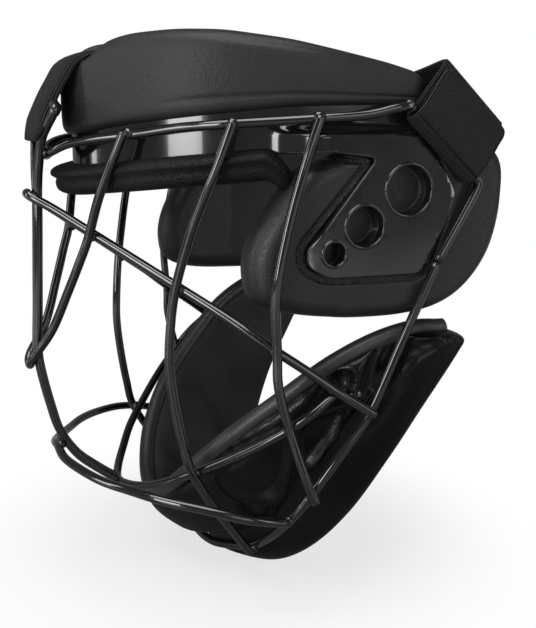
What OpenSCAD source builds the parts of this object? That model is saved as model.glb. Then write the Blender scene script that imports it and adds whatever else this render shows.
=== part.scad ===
// Face cage for field hockey: a welded steel wire cage with a padded brow shell,
// two temple pads, a jaw pad and an elastic harness.
// The wearer looks along -Y, their left is +X, and the jaw pad rests on Z = 0.

/* [Cage] */
// Width between the centres of the two side legs
cage_w = 174; // [150:1:200]
// Depth from the middle plane to the centre bar
cage_front = 88; // [78:1:98]
// Height of the brow bar at the temples
brow_h = 214; // [204:1:224]
// Diameter of the cage wire
wire_d = 4; // [3:0.5:5]
// How far two crossing wires are pressed into each other by the weld
weld_bite = 0.25; // [0.1:0.05:0.5]
// Gap left in the butt seam of the two frame wires
seam_gap = 0.4; // [0.2:0.1:1]
// Width of the crossbar that carries the front strap
crossbar_w = 46; // [40:1:52]

/* [Brow] */
// Thickness of the forehead pad
forehead_t = 22; // [16:1:28]
// Height of the forehead pad at its middle
forehead_h = 30; // [24:1:36]
// Wall of the brow shell
shell_t = 3; // [2:0.5:4]
// Height of the band of the brow shell
band_h = 26; // [22:1:30]
// Thickness of the brow liner
liner_t = 12; // [8:1:16]
// Height of the brow liner
liner_h = 13; // [10:1:18]
// Diameter of the large hole in a side plate
hole_large_d = 20; // [16:0.5:22]
// Diameter of the middle hole in a side plate
hole_middle_d = 16; // [12:0.5:18]
// Diameter of the small hole in a side plate
hole_small_d = 9; // [6:0.5:11]
// Width of the raised rim round each hole
rim_w = 1.6; // [1:0.2:2.4]
// Height of the raised rim above the side plate
rim_h = 0.8; // [0.4:0.2:1.2]

/* [Pads] */
// Thickness of a temple pad
temple_t = 20; // [14:1:24]
// Thickness of the jaw pad, cover and liner together
jaw_t = 20; // [14:1:24]
// Diameter of the rolled edge of the jaw pad
roll_d = 8; // [6:0.5:10]

/* [Harness] */
// Width of the temple and back straps
strap_w = 40; // [32:1:44]
// Width of the front strap
front_w = 34; // [28:1:36]
// Thickness of the elastic straps
strap_t = 2.4; // [1.6:0.2:3]
// Length of the folded strap end from the wire
strap_end_l = 25; // [20:1:28]
// Thickness of the hook patch
patch_t = 1; // [0.6:0.2:1.4]
// Clearance between pieces that touch
fit_gap = 0.3; // [0.2:0.1:0.5]

/* [Hidden] */
$fn = 48;

// Places are measured on a cage with these sizes, and follow the cage when a size changes
base_w = 174;
base_front = 88;
base_h = 214;
function at(x, y, z) = [x * cage_w / base_w, y * cage_front / base_front, z * brow_h / base_h];
function all_at(points) = [for (p = points) at(p.x, p.y, p.z)];

wire_r = wire_d / 2;
// Distance between the centres of two wires that are welded where they cross
stack = wire_d - weld_bite;
wire_sides = 8;

// Plain vector and path functions
function unit(v) = v / norm(v);
function mix(a, b, t) = a + (b - a) * t;
function flip(p) = [-p.x, p.y, p.z];
function both_sides(half) = concat([for (i = [len(half) - 1:-1:1]) flip(half[i])], half);
function curve(a, b, c, d, t) =
    0.5 * (2 * b + (c - a) * t + (2 * a - 5 * b + 4 * c - d) * t * t + (3 * b - a - 3 * c + d) * t * t * t);
function smooth(p, n) = concat(
    [for (i = [0:len(p) - 2]) for (k = [0:n - 1])
        curve(p[max(i - 1, 0)], p[i], p[i + 1], p[min(i + 2, len(p) - 1)], k / n)],
    [p[len(p) - 1]]);
function smooth_loop(p, n) =
    [for (i = [0:len(p) - 1]) for (k = [0:n - 1])
        curve(p[(i + len(p) - 1) % len(p)], p[i], p[(i + 1) % len(p)], p[(i + 2) % len(p)], k / n)];
function tangent(p, i) = unit(p[min(i + 1, len(p) - 1)] - p[max(i - 1, 0)]);
function square_to(n, t) = unit(n - (n * t) * t);
function first_normal(t) = square_to(abs(t.z) < 0.8 ? [0, 0, 1] : [1, 0, 0], t);
function normals(p) =
    [for (i = 0, n = first_normal(tangent(p, 0)); i < len(p);
          i = i + 1, n = square_to(n, tangent(p, min(i, len(p) - 1)))) n];
function power(v, e) = sign(v) * pow(abs(v), e);
// Value of a list of [place, value] pairs at a place, straight between them
function look(table, v, i = 0) =
    i >= len(table) - 1 || v <= table[0][0] ? table[min(i, len(table) - 1)][1]
    : v <= table[i + 1][0]
        ? mix(table[i][1], table[i + 1][1], (v - table[i][0]) / (table[i + 1][0] - table[i][0]))
    : look(table, v, i + 1);

// A closed skin over rings that have the same number of points. Turned, each of its four-sided
// fields is split along its other diagonal, so that two skins can lie against each other.
module skin(rings, turned = false) {
    n = len(rings);
    m = len(rings[0]);
    middle = function(ring) [for (k = [0:m - 1]) 1] * ring / m;
    points = concat([for (ring = rings) each ring], [middle(rings[0]), middle(rings[n - 1])]);
    sides = [for (i = [0:n - 2]) for (k = [0:m - 1]) let (a = i * m + k, b = i * m + (k + 1) % m)
        each turned ? [[a, b, b + m], [a, b + m, a + m]] : [[a, b, a + m], [b, b + m, a + m]]];
    start = [for (k = [0:m - 1]) [n * m, (k + 1) % m, k]];
    end = [for (k = [0:m - 1]) [n * m + 1, (n - 1) * m + k, (n - 1) * m + (k + 1) % m]];
    polyhedron(points = points, faces = concat(sides, start, end), convexity = 8);
}

// A round wire along a path
module wire(p, r = wire_r, sides = wire_sides) {
    n = normals(p);
    skin([for (i = [0:len(p) - 1]) let (t = tangent(p, i), u = n[i], v = cross(t, u))
        [for (k = [0:sides - 1]) p[i] + r * (cos(k * 360 / sides) * u - sin(k * 360 / sides) * v)]]);
}

// Brow bar, from the front to the left temple, then down the side leg and under the jaw
brow_half = all_at([[0, -83, 197], [10, -82, 199], [20, -74, 203], [36, -54.5, 206], [51, -37, 209],
                    [65, -20, 210.5], [79, 10.5, 212.5], [84, 29, 214]]);
// The straight stretch at the temple that a strap goes round
corner_mid = at(87, 63.5, 202.5);
side_x = corner_mid.x;
corner_dir = unit([0, 0.74, -0.67]);
corner_top = corner_mid - corner_dir * (strap_w / 2 + 2);
corner_low = corner_mid + corner_dir * (strap_w / 2 + 2);
upper_half = concat(brow_half,
                    [corner_top - corner_dir * 2 + [0, -5, -2], corner_top, corner_top + corner_dir * 2,
                     corner_low - corner_dir * 2, corner_low, corner_low + corner_dir * 2 + [0, -2, -4],
                     at(87, 62, 154) + [0, 0, seam_gap / 2]]);
lower_half = concat(
    all_at([[0, -17, 10], [18, -15, 11], [34, -9, 15], [48, -6, 21], [62, -5, 30], [74, -3, 40],
            [82, 2, 51], [86, 11, 65], [87, 21, 78], [87, 32, 92], [87, 47, 123]]),
    [at(87, 62, 154) - [0, 0, seam_gap / 2]]);

// Outward direction at a place of the cage, level
function outward(p) = unit([p.x * 1.25, p.y - 30, 0]);
function lifted(p, layers) = p + outward(p) * stack * layers;
// The point of a path where it passes a height or a half width
function find_x(p, x, i = 0) =
    i >= len(p) - 2 || (p[i].x <= x && x <= p[i + 1].x)
        ? mix(p[i], p[i + 1], (x - p[i].x) / max(p[i + 1].x - p[i].x, 0.001)) : find_x(p, x, i + 1);

// Centre bar: a doubled wire, its closed end is the crossbar
centre_leg = all_at([[10, -85.6, 205], [5, -87.1, 192], [2, -87.6, 181], [2, -88, 170], [2, -89, 150],
                     [2, -90, 130], [2, -91, 112], [2, -90, 101], [2, -86.5, 84], [2, -82.8, 71],
                     [2, -75.5, 59], [2, -65.5, 50]]);
// Its two ends butt against the mouth bar
leg_foot = at(2, -56.4, 43.1) - unit([0, 0.8, -0.6]) * (wire_r - weld_bite);
crossbar_end = at(0, -82, 217) + [crossbar_w / 2, 0, 0];
mouth_half = all_at([[0, -56.5, 43], [13, -53.5, 44.5], [27, -47.5, 48.7], [40, -40.5, 55.2], [52, -31, 62.8],
                     [65, -19, 72.5], [76, -6, 82.7], [83, 7, 93], [83, 20, 103]]);
guard_half = concat([at(0, -88, 180.9) - [0, stack, 0], at(4, -87.5, 179.4) - [0, stack * 0.8, 0]],
                    all_at([[10, -82, 174.2], [21, -67.5, 164], [35, -52.7, 153.6], [49, -37.6, 142.9],
                            [63, -23, 132.5], [75, -9.3, 121.8], [82.5, 7, 110]]),
                    [at(86, 19.5, 100.5) + [stack * 0.6, 0, 0], at(87, 32, 92) + [stack, 0, 0]]);
// The chin bar ends on the front of the lower frame wire
chin_end = find_x(lower_half, 78 * cage_w / base_w) + [0.6, -0.8, 0] * stack;
chin_half = concat([at(0, -80.5, 64) - [0, stack, 0]],
                   all_at([[12, -83.5, 62.2], [24, -79, 60.4], [38, -72, 58.9], [51, -63.5, 58.5],
                           [64, -52, 57], [75, -37, 54.8], [82, -20, 50.3]]), [chin_end]);
// A wire that lies outside another one is welded on where both have the same half width
function on_wire(p, x, layers = 1) = lifted(find_x(p, x * cage_w / base_w), layers);
nose_half = concat([at(0, -91, 104) - [0, stack, 0], at(4.5, -91, 108) - [0, stack * 0.75, 0]],
                   all_at([[9, -85.5, 121], [15.5, -78.8, 139], [20.4, -73.9, 153]]),
                   [on_wire(guard_half, 22, 1.12)],
                   all_at([[29.6, -66.9, 180], [34.9, -62.4, 194]]),
                   [on_wire(brow_half, 36.5, 1.1) + [0, 0, 1]]);
cheek_path = concat([on_wire(brow_half, 65.3) + [0, 0, 1]],
                    all_at([[66.3, -26.6, 196], [63.4, -30.6, 185], [59, -34.6, 172], [54.3, -38.2, 157]]),
                    [on_wire(guard_half, 48.5)],
                    all_at([[49.2, -42.6, 130], [48.5, -43.6, 112], [49, -42, 94], [50.5, -39, 76]]),
                    [on_wire(mouth_half, 50)],
                    all_at([[53, -24, 42]]), [at(50, -6, 22) + [1.5, -stack * 0.6, -stack * 0.75]]);
temple_path = concat([on_wire(brow_half, 79) + [0, 0, 1]],
                     all_at([[82.8, 2.7, 194], [81.8, -4, 169], [81, -8.3, 144]]),
                     [on_wire(guard_half, 76.5)], all_at([[80.8, -7, 105]]),
                     [on_wire(mouth_half, 78.5, 1.15)], all_at([[87.1, 2.2, 67.5], [89, 6.2, 56.1]]));

module upper_frame_wire() color("#17181a") wire(smooth(both_sides(upper_half), 2));
module lower_frame_wire() color("#17181a") wire(smooth(both_sides(lower_half), 2));
module nose_wire() color("#1c1d20") wire(smooth(both_sides(nose_half), 3));
module cheek_bar(side) color("#1c1d20") scale([side, 1, 1]) wire(smooth(cheek_path, 3));
module temple_bar(side) color("#1c1d20") scale([side, 1, 1]) wire(smooth(temple_path, 3));
module guard_bar() color("#1c1d20") wire(smooth(both_sides(guard_half), 2));
module mouth_bar() color("#1c1d20") wire(smooth(both_sides(mouth_half), 3));
module chin_bar() color("#1c1d20") wire(smooth(both_sides(chin_half), 3));
module centre_bar() color("#1c1d20") wire(concat(
    smooth(concat([flip(leg_foot)], [for (i = [len(centre_leg) - 1:-1:0]) flip(centre_leg[i])],
                  [flip(crossbar_end)]), 2),
    smooth(concat([crossbar_end], centre_leg, [leg_foot]), 2)));

// Level path that the brow pieces follow, and the same path moved inwards
brow_plan = smooth(both_sides(all_at([[0, -75, 0], [15, -71, 0], [32, -58, 0], [49, -41.5, 0], [62, -24, 0],
                                      [74, 1, 0], [79.5, 20, 0], [82, 42, 0], [82, 60, 0]])), 2);
function level_normal(p, i) = let (t = tangent(p, i)) unit([t.y, -t.x, 0]);
function moved_in(p, d) = [for (i = [0:len(p) - 1]) p[i] - level_normal(p, i) * d];
function flat2(p) = [for (q = p) [q.x, q.y]];

// Height of the lower edge of the forehead pad over the depth
function pad_low(y) = look([[-78, 210], [-40, 215], [0, 219], [60, 220]], y * base_front / cage_front)
    * brow_h / base_h;
// A long cushion with a rounded section: thickness t, from height z0(y) to z1(y), round at both ends
module long_cushion(path, t, z0, z1, e = 0.55, sides = 16) {
    n = len(path);
    skin([for (i = [0:n - 1])
        let (u = abs(2 * i / (n - 1) - 1), end = sqrt(max(1 - pow(max(u - 0.93, 0) / 0.07, 2), 0.12)),
             low = z0(path[i].y), high = z1(path[i].y), out = level_normal(path, i),
             c = path[i] - out * t / 2 + [0, 0, (low + high) / 2])
        [for (k = [0:sides - 1]) let (a = k * 360 / sides)
            c + out * t / 2 * end * power(cos(a), e) + [0, 0, (high - low) / 2 * end * power(sin(a), e)]]]);
}

pad_low_here = function(y) pad_low(y);
pad_high_here = function(y) pad_low(y) + forehead_h
    + look([[-76, -3], [-71, 0], [-58, 4], [-42, 3], [-24, 0.5], [0, -5.5], [20, -10], [42, -15], [60, -20]],
           y * base_front / cage_front);
// The band reaches up into the pad by band_lap
band_lap = 6;
band_in = 4;
function band_low(y) = pad_low(y) + band_lap - band_h;
// The liner hangs from the lower edge of the band
liner_lap = 3;
liner_high_here = function(y) band_low(y) + liner_lap;
liner_low_here = function(y) band_low(y) + liner_lap - liner_h;

// The band of the brow shell, grown by a clearance where another piece seats on it
module band(gap = 0) {
    skin([for (i = [0:len(brow_plan) - 1])
        let (p = brow_plan[i], out = level_normal(brow_plan, i), low = [0, 0, band_low(p.y) - gap],
             high = [0, 0, band_low(p.y) + band_h + gap], face = p - out * (band_in - gap),
             back = p - out * (band_in + shell_t + gap))
        [face + low, face + high, back + high, back + low]]);
}

module forehead_pad() color("#222326") difference() {
    long_cushion(brow_plan, forehead_t, pad_low_here, pad_high_here);
    band(fit_gap);
    strap_channel();
}

// Side plate outline in the plane of the cage's side, as [depth, height]
plate_x = 81.4;
function plate_at(y, z) = [y * cage_front / base_front, z * brow_h / base_h];
plate_points = [plate_at(14, 200), plate_at(34, 197), plate_at(5, 161), plate_at(6, 154), plate_at(13, 150),
                plate_at(55, 149), plate_at(62, 154), plate_at(72.2, 181.7), plate_at(64.6, 194.6),
                plate_at(50, 207.5), plate_at(20, 210)];
// The plate's top is thicker inwards, where it runs into the band
shoulder_t = 5;
shoulder_points = [plate_at(26, 201), plate_at(50, 201), plate_at(46, 207.5), plate_at(26, 209)];
hole_places = [[plate_at(49, 184), hole_large_d], [plate_at(29, 170), hole_middle_d],
               [plate_at(15.5, 159.5), hole_small_d]];

module side_plate(gap = 0) {
    translate([plate_x * cage_w / base_w - gap, 0, 0]) rotate([90, 0, 90]) difference() {
        union() {
            linear_extrude(shell_t + 2 * gap) polygon(plate_points);
            translate([0, 0, -shoulder_t]) linear_extrude(shoulder_t + 1) offset(delta = gap)
                polygon(shoulder_points);
            for (hole = hole_places) translate(hole[0])
                cylinder(d = hole[1] + 2 * rim_w, h = shell_t + rim_h);
        }
        if (gap == 0)
            for (hole = hole_places) translate([hole[0].x, hole[0].y, -1])
                cylinder(d = hole[1], h = shell_t + rim_h + 2);
    }
}

module brow_shell() color("#0d0d0f") {
    band();
    side_plate();
    mirror([1, 0, 0]) side_plate();
}

// The liner stands out from the band by liner_out, and by liner_nose more at the front.
// It ends in front of the temple pads.
liner_out = 6.5;
liner_nose = 2.5;
liner_back = 3;
module liner_form(gap = 0) {
    long_cushion([for (p = moved_in(brow_plan, band_in - liner_out - gap))
                      if (p.y < (liner_back * cage_front / base_front) + gap)
                          p - [0, look([[-75, liner_nose], [-45, 0]], p.y * base_front / cage_front), 0]],
                 liner_out + liner_t + 2 * gap, function(y) liner_low_here(y) - gap,
                 function(y) liner_high_here(y) + gap);
}
module brow_liner() color("#2a2b2e") difference() {
    liner_form();
    band(fit_gap);
}

// Temple pad: outline as [depth, height], curved to the side of the head
temple_outline = smooth_loop(
    [for (q = [[8, 194], [-5, 179], [-14, 163], [-16, 149], [-11, 138], [10, 132], [50, 130.5],
               [76, 137], [93, 155], [99, 180], [94, 200], [62, 207], [30, 202]]) plate_at(q.x, q.y)], 3);
function temple_x(y) = look([[-20, 72], [0, 77], [25, 82.5], [60, 84.2], [100, 83]],
                            y * base_front / cage_front) * cage_w / base_w;
module temple_form() {
    middle = plate_at(38, 168);
    layers = [[0.5, 0], [0.82, 0.3], [0.93, 1.5], [0.985, 4.5], [1, temple_t * 0.5], [0.98, temple_t - 4],
              [0.9, temple_t - 1], [0.6, temple_t]];
    skin([for (layer = layers) [for (q = temple_outline) let (s = middle + (q - middle) * layer[0])
        [temple_x(s.x) - layer[1], s.x, s.y]]]);
}

module temple_pad(side) color("#232427") scale([side, 1, 1]) difference() {
    temple_form();
    side_plate(fit_gap);
    band(fit_gap);
    liner_form(fit_gap);
    strap_bed();
}

// Jaw pad: its front edge and its rear edge, from the middle of the chin to the top of the left arm
jaw_front = all_at([[0, -43, 38], [18, -40.5, 45], [35, -33, 60], [50, -19, 79], [62, 0, 97], [71, 19, 113],
                    [76, 38, 123], [78, 56, 127], [78.5, 68, 125]]);
jaw_rear = all_at([[0, 6.5, 3.2], [18, 9.5, 4.2], [34, 17, 7.2], [51, 25, 20], [64, 36, 40], [72, 48, 64],
                   [76, 61.5, 88], [78, 73, 107], [78.5, 80, 120]]);
front_edge = smooth(both_sides(jaw_front), 2);
rear_path = smooth(both_sides(jaw_rear), 2);
// The rolled edge lies along the front, inside the outline
roll_path = [for (i = [0:len(front_edge) - 1])
    front_edge[i] + unit(rear_path[i] - front_edge[i]) * roll_d / 2];
front_path = [for (i = [0:len(front_edge) - 1])
    front_edge[i] + unit(rear_path[i] - front_edge[i]) * roll_d * 0.6];

// Half of the jaw pad's section: outwards for the cover, inwards for the liner
module jaw_half(out) {
    n = len(front_path);
    sides = 12;
    skin(turned = !out, rings = [for (i = [0:n - 1])
        let (u = abs(2 * i / (n - 1) - 1), end = u > 0.99 ? 0.8 : 1,
             across = front_path[i] - rear_path[i], c = (front_path[i] + rear_path[i]) / 2,
             away = unit(cross(tangent(rear_path, i), across)) * (out ? 1 : -1), w = norm(across) / 2 * end)
        [for (k = out ? [sides - 1:-1:0] : [0:sides - 1]) let (a = k * 180 / (sides - 1))
            c + unit(across) * w * power(cos(a), 0.7)
                + away * (fit_gap / 2 + jaw_t / 2 * end * power(sin(a), 0.6))]]);
}
module jaw_pad() color("#1b1b1d") difference() {
    jaw_half(true);
    wire(roll_path, roll_d / 2 + fit_gap, 8);
    wire(smooth(both_sides(lower_half), 2), wire_r + fit_gap, 8);
    wire(smooth(both_sides(mouth_half), 3), wire_r + fit_gap, 8);
    wire(smooth(both_sides(guard_half), 2), wire_r + fit_gap, 8);
    // The flat underside that the part rests on
    translate([-cage_w, -cage_w, -cage_w]) cube([cage_w * 2, cage_w * 2, cage_w]);
}
module jaw_liner() color("#2b2a2b") difference() {
    jaw_half(false);
    wire(roll_path, roll_d / 2 + fit_gap, 8);
}
module jaw_pad_roll() color("#242426") difference() {
    wire(roll_path, roll_d / 2, 8);
    wire(smooth(both_sides(mouth_half), 3), wire_r + fit_gap, 8);
}

// Straps are bands: a path in a plane, given a thickness, then made as wide as the strap
function turn_left(v) = [-v.y, v.x];
function tangent2(p, i) = unit(p[min(i + 1, len(p) - 1)] - p[max(i - 1, 0)]);
function band_outline(p, t) = concat(
    [for (i = [0:len(p) - 1]) p[i] + turn_left(tangent2(p, i)) * t / 2],
    [for (i = [len(p) - 1:-1:0]) p[i] - turn_left(tangent2(p, i)) * t / 2]);

// The temple plane: first axis out of the side of the cage, second axis up and back from the wire
corner_up = cross([1, 0, 0], corner_dir);
module in_corner_plane(w = strap_w) {
    multmatrix([[1, 0, 0, 0], [0, corner_up.y, -corner_dir.y, corner_mid.y],
                [0, corner_up.z, -corner_dir.z, corner_mid.z], [0, 0, 0, 1]])
        translate([0, 0, -w / 2]) linear_extrude(w) children();
}
// Distance from the middle of the wire to the middle of a strap that goes round it
strap_off = wire_r + fit_gap + strap_t / 2;
inner_x = side_x - strap_off;
// The strap end turns on a line just outside the wire, where the strap comes round it
hinge_x = side_x + strap_off;
wrap_end = -asin((strap_t / 2 + 1.3 * fit_gap) / strap_off);
back_sag = 11;
back_half = smooth([[0, strap_end_l - back_sag], [side_x * 0.35, strap_end_l - back_sag * 0.85],
                    [side_x * 0.7, strap_end_l - back_sag * 0.3], [inner_x - 7, strap_end_l + 2],
                    [inner_x - 3, strap_end_l], [inner_x - 1.2, strap_end_l * 0.55], [inner_x, 5],
                    [inner_x, 0]], 3);
wrap = [for (a = [-165:12:wrap_end]) [side_x + strap_off * cos(a), strap_off * sin(a)]];
wrap_tip = [side_x + strap_off * cos(wrap_end), strap_off * sin(wrap_end)];
side_path = concat(back_half, wrap, [wrap_tip]);
module back_strap() color("#1f1f22") in_corner_plane() polygon(band_outline(
    concat([for (i = [len(side_path) - 1:-1:1]) [-side_path[i].x, side_path[i].y]], side_path), strap_t));

// The strap lies in a bed in the temple pad, from bed_from to bed_to on its path
bed_from = 12;
bed_to = 27;
module strap_bed() in_corner_plane(strap_w + 2 * fit_gap) polygon(concat(
    [for (i = [bed_from:bed_to]) side_path[i] - turn_left(tangent2(side_path, i)) * (strap_t / 2 + fit_gap)],
    [[side_x * 1.2, side_path[bed_to].y], [side_x * 1.2, side_path[bed_from].y]]));

// The folded strap end lies on the strap, and a hook patch holds it
end_path = smooth([[hinge_x, 0], [hinge_x, 3], [hinge_x - 1, strap_end_l * 0.35],
                   [hinge_x - 3.4, strap_end_l * 0.7], [hinge_x - 4.4, strap_end_l - 1]], 3);
module strap_end(side) color("#26262a") scale([side, 1, 1]) in_corner_plane()
    polygon(band_outline(end_path, strap_t));

patch_path = [for (i = [6:len(end_path) - 2])
    end_path[i] + turn_left(tangent2(end_path, i)) * (strap_t + patch_t) / 2];
module hook_patch(side) color("#101012") scale([side, 1, 1]) in_corner_plane()
    polygon(band_outline(patch_path, patch_t));

// Front strap, seen from the side as [depth, height]
// Its rear end is sewn to the inside of the back strap
function on_back(drop, s) = [corner_mid.y, corner_mid.z] + [corner_dir.y, corner_dir.z] * s
    + [corner_up.y, corner_up.z] * (strap_end_l - back_sag - strap_t - fit_gap - drop);
strap_side = smooth(concat([for (q = [[-89, 203], [-89.1, 207], [-88.2, 212], [-86, 217], [-83.3, 222.5],
                                      [-79.5, 229], [-75.5, 235], [-69, 238.5], [-60, 239], [-40, 232],
                                      [0, 221], [30, 217]]) plate_at(q.x, q.y)],
                           [on_back(12.3, -29), on_back(4.8, -22.5), on_back(1.3, -15), on_back(0.2, -7),
                            on_back(0, 2), on_back(0, 14)]), 3);
// The strap presses the forehead pad down along this channel, open at the top
channel_from = 18;
channel_to = 29;
module strap_channel() translate([-front_w / 2 - fit_gap, 0, 0]) rotate([90, 0, 90])
    linear_extrude(front_w + 2 * fit_gap) polygon(concat(
        [for (i = [channel_from:channel_to])
            strap_side[i] - turn_left(tangent2(strap_side, i)) * (strap_t / 2 + fit_gap)],
        [[strap_side[channel_to].x, brow_h * 1.4], [strap_side[channel_from].x, brow_h * 1.4]]));

// A narrower tab of the strap goes through the hairpin and round its crossbar
tab_w = 26;
bar_place = [crossbar_end.y, crossbar_end.z];
tab_side = smooth(concat([plate_at(-87.4, 213)],
                         [for (a = [-90:30:60]) bar_place + strap_off * [cos(a), sin(a)]],
                         [plate_at(-81.8, 225.5)]), 2);

module strap_band(side, w) translate([-w / 2, 0, 0]) rotate([90, 0, 90])
    linear_extrude(w) polygon(band_outline(side, strap_t));
module front_strap() color("#1f1f22") {
    strap_band(strap_side, front_w);
    strap_band(tab_side, tab_w);
}

upper_frame_wire();
lower_frame_wire();
nose_wire();
cheek_bar(1);  // cheek_bar_left
cheek_bar(-1);  // cheek_bar_right
temple_bar(1);  // temple_bar_left
temple_bar(-1);  // temple_bar_right
guard_bar();
mouth_bar();
chin_bar();
centre_bar();
forehead_pad();
brow_shell();
brow_liner();
temple_pad(1);  // temple_pad_left
temple_pad(-1);  // temple_pad_right
jaw_pad();
jaw_pad_roll();
jaw_liner();
front_strap();
back_strap();
strap_end(1);  // strap_end_left
strap_end(-1);  // strap_end_right
hook_patch(1);  // hook_patch_left
hook_patch(-1);  // hook_patch_right
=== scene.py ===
import math
from bisect import bisect_right

import bmesh
import bpy
from mathutils import Matrix, Vector, kdtree, noise


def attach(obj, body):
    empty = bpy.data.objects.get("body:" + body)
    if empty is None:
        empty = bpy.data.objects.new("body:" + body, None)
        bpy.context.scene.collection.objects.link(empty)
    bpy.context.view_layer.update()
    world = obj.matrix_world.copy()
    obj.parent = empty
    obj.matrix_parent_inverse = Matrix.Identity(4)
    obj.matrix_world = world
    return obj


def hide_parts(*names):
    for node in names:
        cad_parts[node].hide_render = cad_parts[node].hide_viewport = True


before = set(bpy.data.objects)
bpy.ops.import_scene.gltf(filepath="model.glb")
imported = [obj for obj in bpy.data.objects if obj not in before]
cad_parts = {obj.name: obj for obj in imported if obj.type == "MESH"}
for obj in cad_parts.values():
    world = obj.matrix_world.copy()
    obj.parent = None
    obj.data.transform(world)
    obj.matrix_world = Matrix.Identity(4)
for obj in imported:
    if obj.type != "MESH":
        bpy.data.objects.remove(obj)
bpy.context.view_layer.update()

# The camera stands at the wearer's left front, a little above the brow, as in the photograph.
# Sizes in this file are written in millimetres, and times mm they are in metres.
mm = 0.001
camera_place = Vector((404.0, -145.0, 212.2)) * mm
azimuth = math.radians(67.6)
elevation = math.radians(12.2)
camera_data = bpy.data.cameras.new("camera")
camera_data.sensor_width = 36.0
camera_data.lens = 51.6
camera_right = Vector((math.cos(azimuth), math.sin(azimuth), 0.0))
camera_up = Vector((-math.sin(azimuth) * math.sin(elevation), math.cos(azimuth) * math.sin(elevation),
                    math.cos(elevation)))
camera = bpy.data.objects.new("camera", camera_data)
camera.matrix_world = Matrix.Translation(camera_place) @ Matrix(
    (camera_right, camera_up, camera_right.cross(camera_up))).transposed().to_4x4()
bpy.context.scene.collection.objects.link(camera)
bpy.context.scene.camera = camera


# Cage wires: 4 mm steel wire, bent cold and spot welded where two wires cross, then dipped in
# gloss black paint. The wires that lie outside are one wire's thickness further out.
wire_r = 2.0
wire_steps = 8
cut_bevel = 0.3
# Where two wires cross, they are this far apart: the weld sinks them into each other a little
stack = 2 * wire_r - 0.25
# Outside a wire is away from the middle line at this depth, turned a little to the side
cage_middle, cage_flatness = 30, 1.25
half_w = 87.0
two_sides = ((1, "left"), (-1, "right"))


def points(*keys):
    return [Vector(key) for key in keys]


def mirrored(path, side=-1):
    """The same places on the side that is asked for: 1 is the wearer's left, -1 the right."""
    return [Vector((side * p.x, p.y, p.z)) for p in path]


def both_sides(half):
    return mirrored(reversed(half[1:])) + list(half)


def through(keys, steps):
    """A smooth path through the key points."""
    path = []
    for i in range(len(keys) - 1):
        a, b, c, d = keys[max(i - 1, 0)], keys[i], keys[i + 1], keys[min(i + 2, len(keys) - 1)]
        for k in range(steps):
            t = k / steps
            path.append(0.5 * (2 * b + (c - a) * t + (2 * a - 5 * b + 4 * c - d) * t * t
                               + (3 * b - a - 3 * c + d) * t ** 3))
    return path + [keys[-1]]


def on_wire(path, half_width, layers=1.0):
    """The place just outside a wire, where it has this half width."""
    for a, b in zip(path, path[1:]):
        if a.x <= half_width <= b.x:
            break
    p = a.lerp(b, (half_width - a.x) / max(b.x - a.x, 0.001))
    return p + Vector((cage_flatness * p.x, p.y - cage_middle, 0)).normalized() * stack * layers


brow_half = points((0, -83, 197), (10, -82, 199), (20, -74, 203), (36, -54.5, 206), (51, -37, 209),
                   (65, -20, 210.5), (79, 10.5, 212.5), (84, 29, 214))
# The straight stretch that the temple strap goes round, from bend to bend
corner_mid = Vector((half_w, 63.5, 202.5))
corner_dir = Vector((0, 0.74, -0.67)).normalized()
corner_reach, bend = corner_dir * 22, corner_dir * 2
corner_top, corner_low = corner_mid - corner_reach, corner_mid + corner_reach
upper_half = brow_half + [corner_top - bend + Vector((0, -5, -2)), corner_top, corner_top + bend,
                          corner_low - bend, corner_low, corner_low + bend + Vector((0, -2, -4)),
                          Vector((half_w, 62, 154.2))]
lower_half = points((0, -17, 10), (18, -15, 11), (34, -9, 15), (48, -6, 21), (62, -5, 30), (74, -3, 40),
                    (82, 2, 51), (86, 11, 65), (half_w, 21, 78), (half_w, 32, 92), (half_w, 47, 123),
                    (half_w, 62, 153.8))
# The two legs stay 0.04 mm apart, so that no faces of theirs merge
leg_x = wire_r + 0.02
centre_leg = points((23, -82, 217), (10, -85.6, 205), (5, -87.1, 192), (leg_x, -87.6, 181), (leg_x, -88, 170),
                    (leg_x, -89, 150), (leg_x, -90, 130), (leg_x, -91, 112), (leg_x, -90, 101),
                    (leg_x, -86.5, 84), (leg_x, -82.8, 71), (leg_x, -75.5, 59), (leg_x, -65.5, 50),
                    (leg_x, -57.8, 44.15))
mouth_half = points((0, -56.5, 43), (13, -53.5, 44.5), (27, -47.5, 48.7), (40, -40.5, 55.2), (52, -31, 62.8),
                    (65, -19, 72.5), (76, -6, 82.7), (83, 7, 93), (83, 20, 103))
guard_half = points((0, -91.75, 180.9), (4, -90.5, 179.4), (10, -82, 174.2), (21, -67.5, 164),
                    (35, -52.7, 153.6), (49, -37.6, 142.9), (63, -23, 132.5), (75, -9.3, 121.8),
                    (82.5, 7, 110), (88.25, 19.5, 100.5), (90.75, 32, 92))
chin_half = points((0, -84.25, 64), (12, -83.5, 62.2), (24, -79, 60.4), (38, -72, 58.9), (51, -63.5, 58.5),
                   (64, -52, 57), (75, -37, 54.8), (82, -20, 50.3), (80.25, -3.5, 45.5))
above = Vector((0, 0, 1))
nose_half = [*points((0, -94.75, 104), (4.5, -93.81, 108), (9, -85.5, 121), (15.5, -78.8, 139),
                     (20.4, -73.9, 153)),
             on_wire(guard_half, 22, 1.12), *points((29.6, -66.9, 180), (34.9, -62.4, 194)),
             on_wire(brow_half, 36.5, 1.1) + above]
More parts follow.
